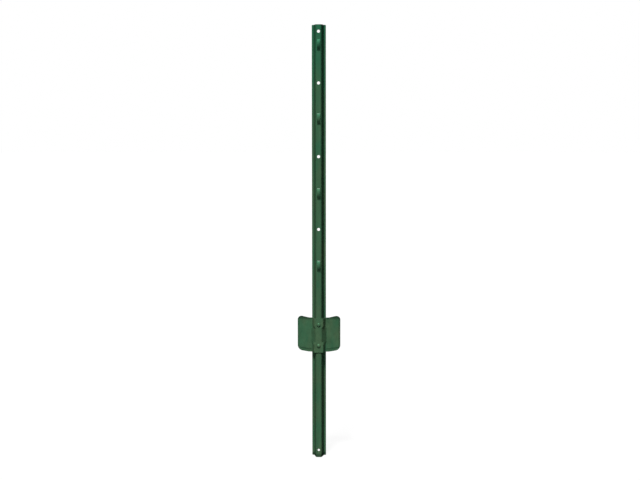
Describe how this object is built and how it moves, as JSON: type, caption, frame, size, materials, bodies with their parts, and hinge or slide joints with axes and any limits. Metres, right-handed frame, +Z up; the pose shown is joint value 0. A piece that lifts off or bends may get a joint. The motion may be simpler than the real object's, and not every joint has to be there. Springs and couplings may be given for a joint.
{
  "type": "light-duty steel u-post",
  "caption": "Upright sheet-steel fence post of open U section, with lanced wire tabs and round holes along its web and a riveted, winged anchor plate near its driven end.",
  "frame": {"origin": "centre of the post's section at its driven end", "axes": "+Z up the post, -Y out of the web's front face, which carries the wire tabs and the anchor plate, +Y out of the channel's open side, +X across"},
  "size_m": [0.0908, 0.0244, 0.9144],
  "materials": {
    "post": "semi-gloss",
    "anchor_plate": "semi-gloss",
    "rivets": "semi-gloss"
  },
  "bodies": {
    "root": {"post": "post", "anchor_plate": "anchor_plate", "rivet_upper": "rivets", "rivet_lower": "rivets"}
  },
  "joints": []
}
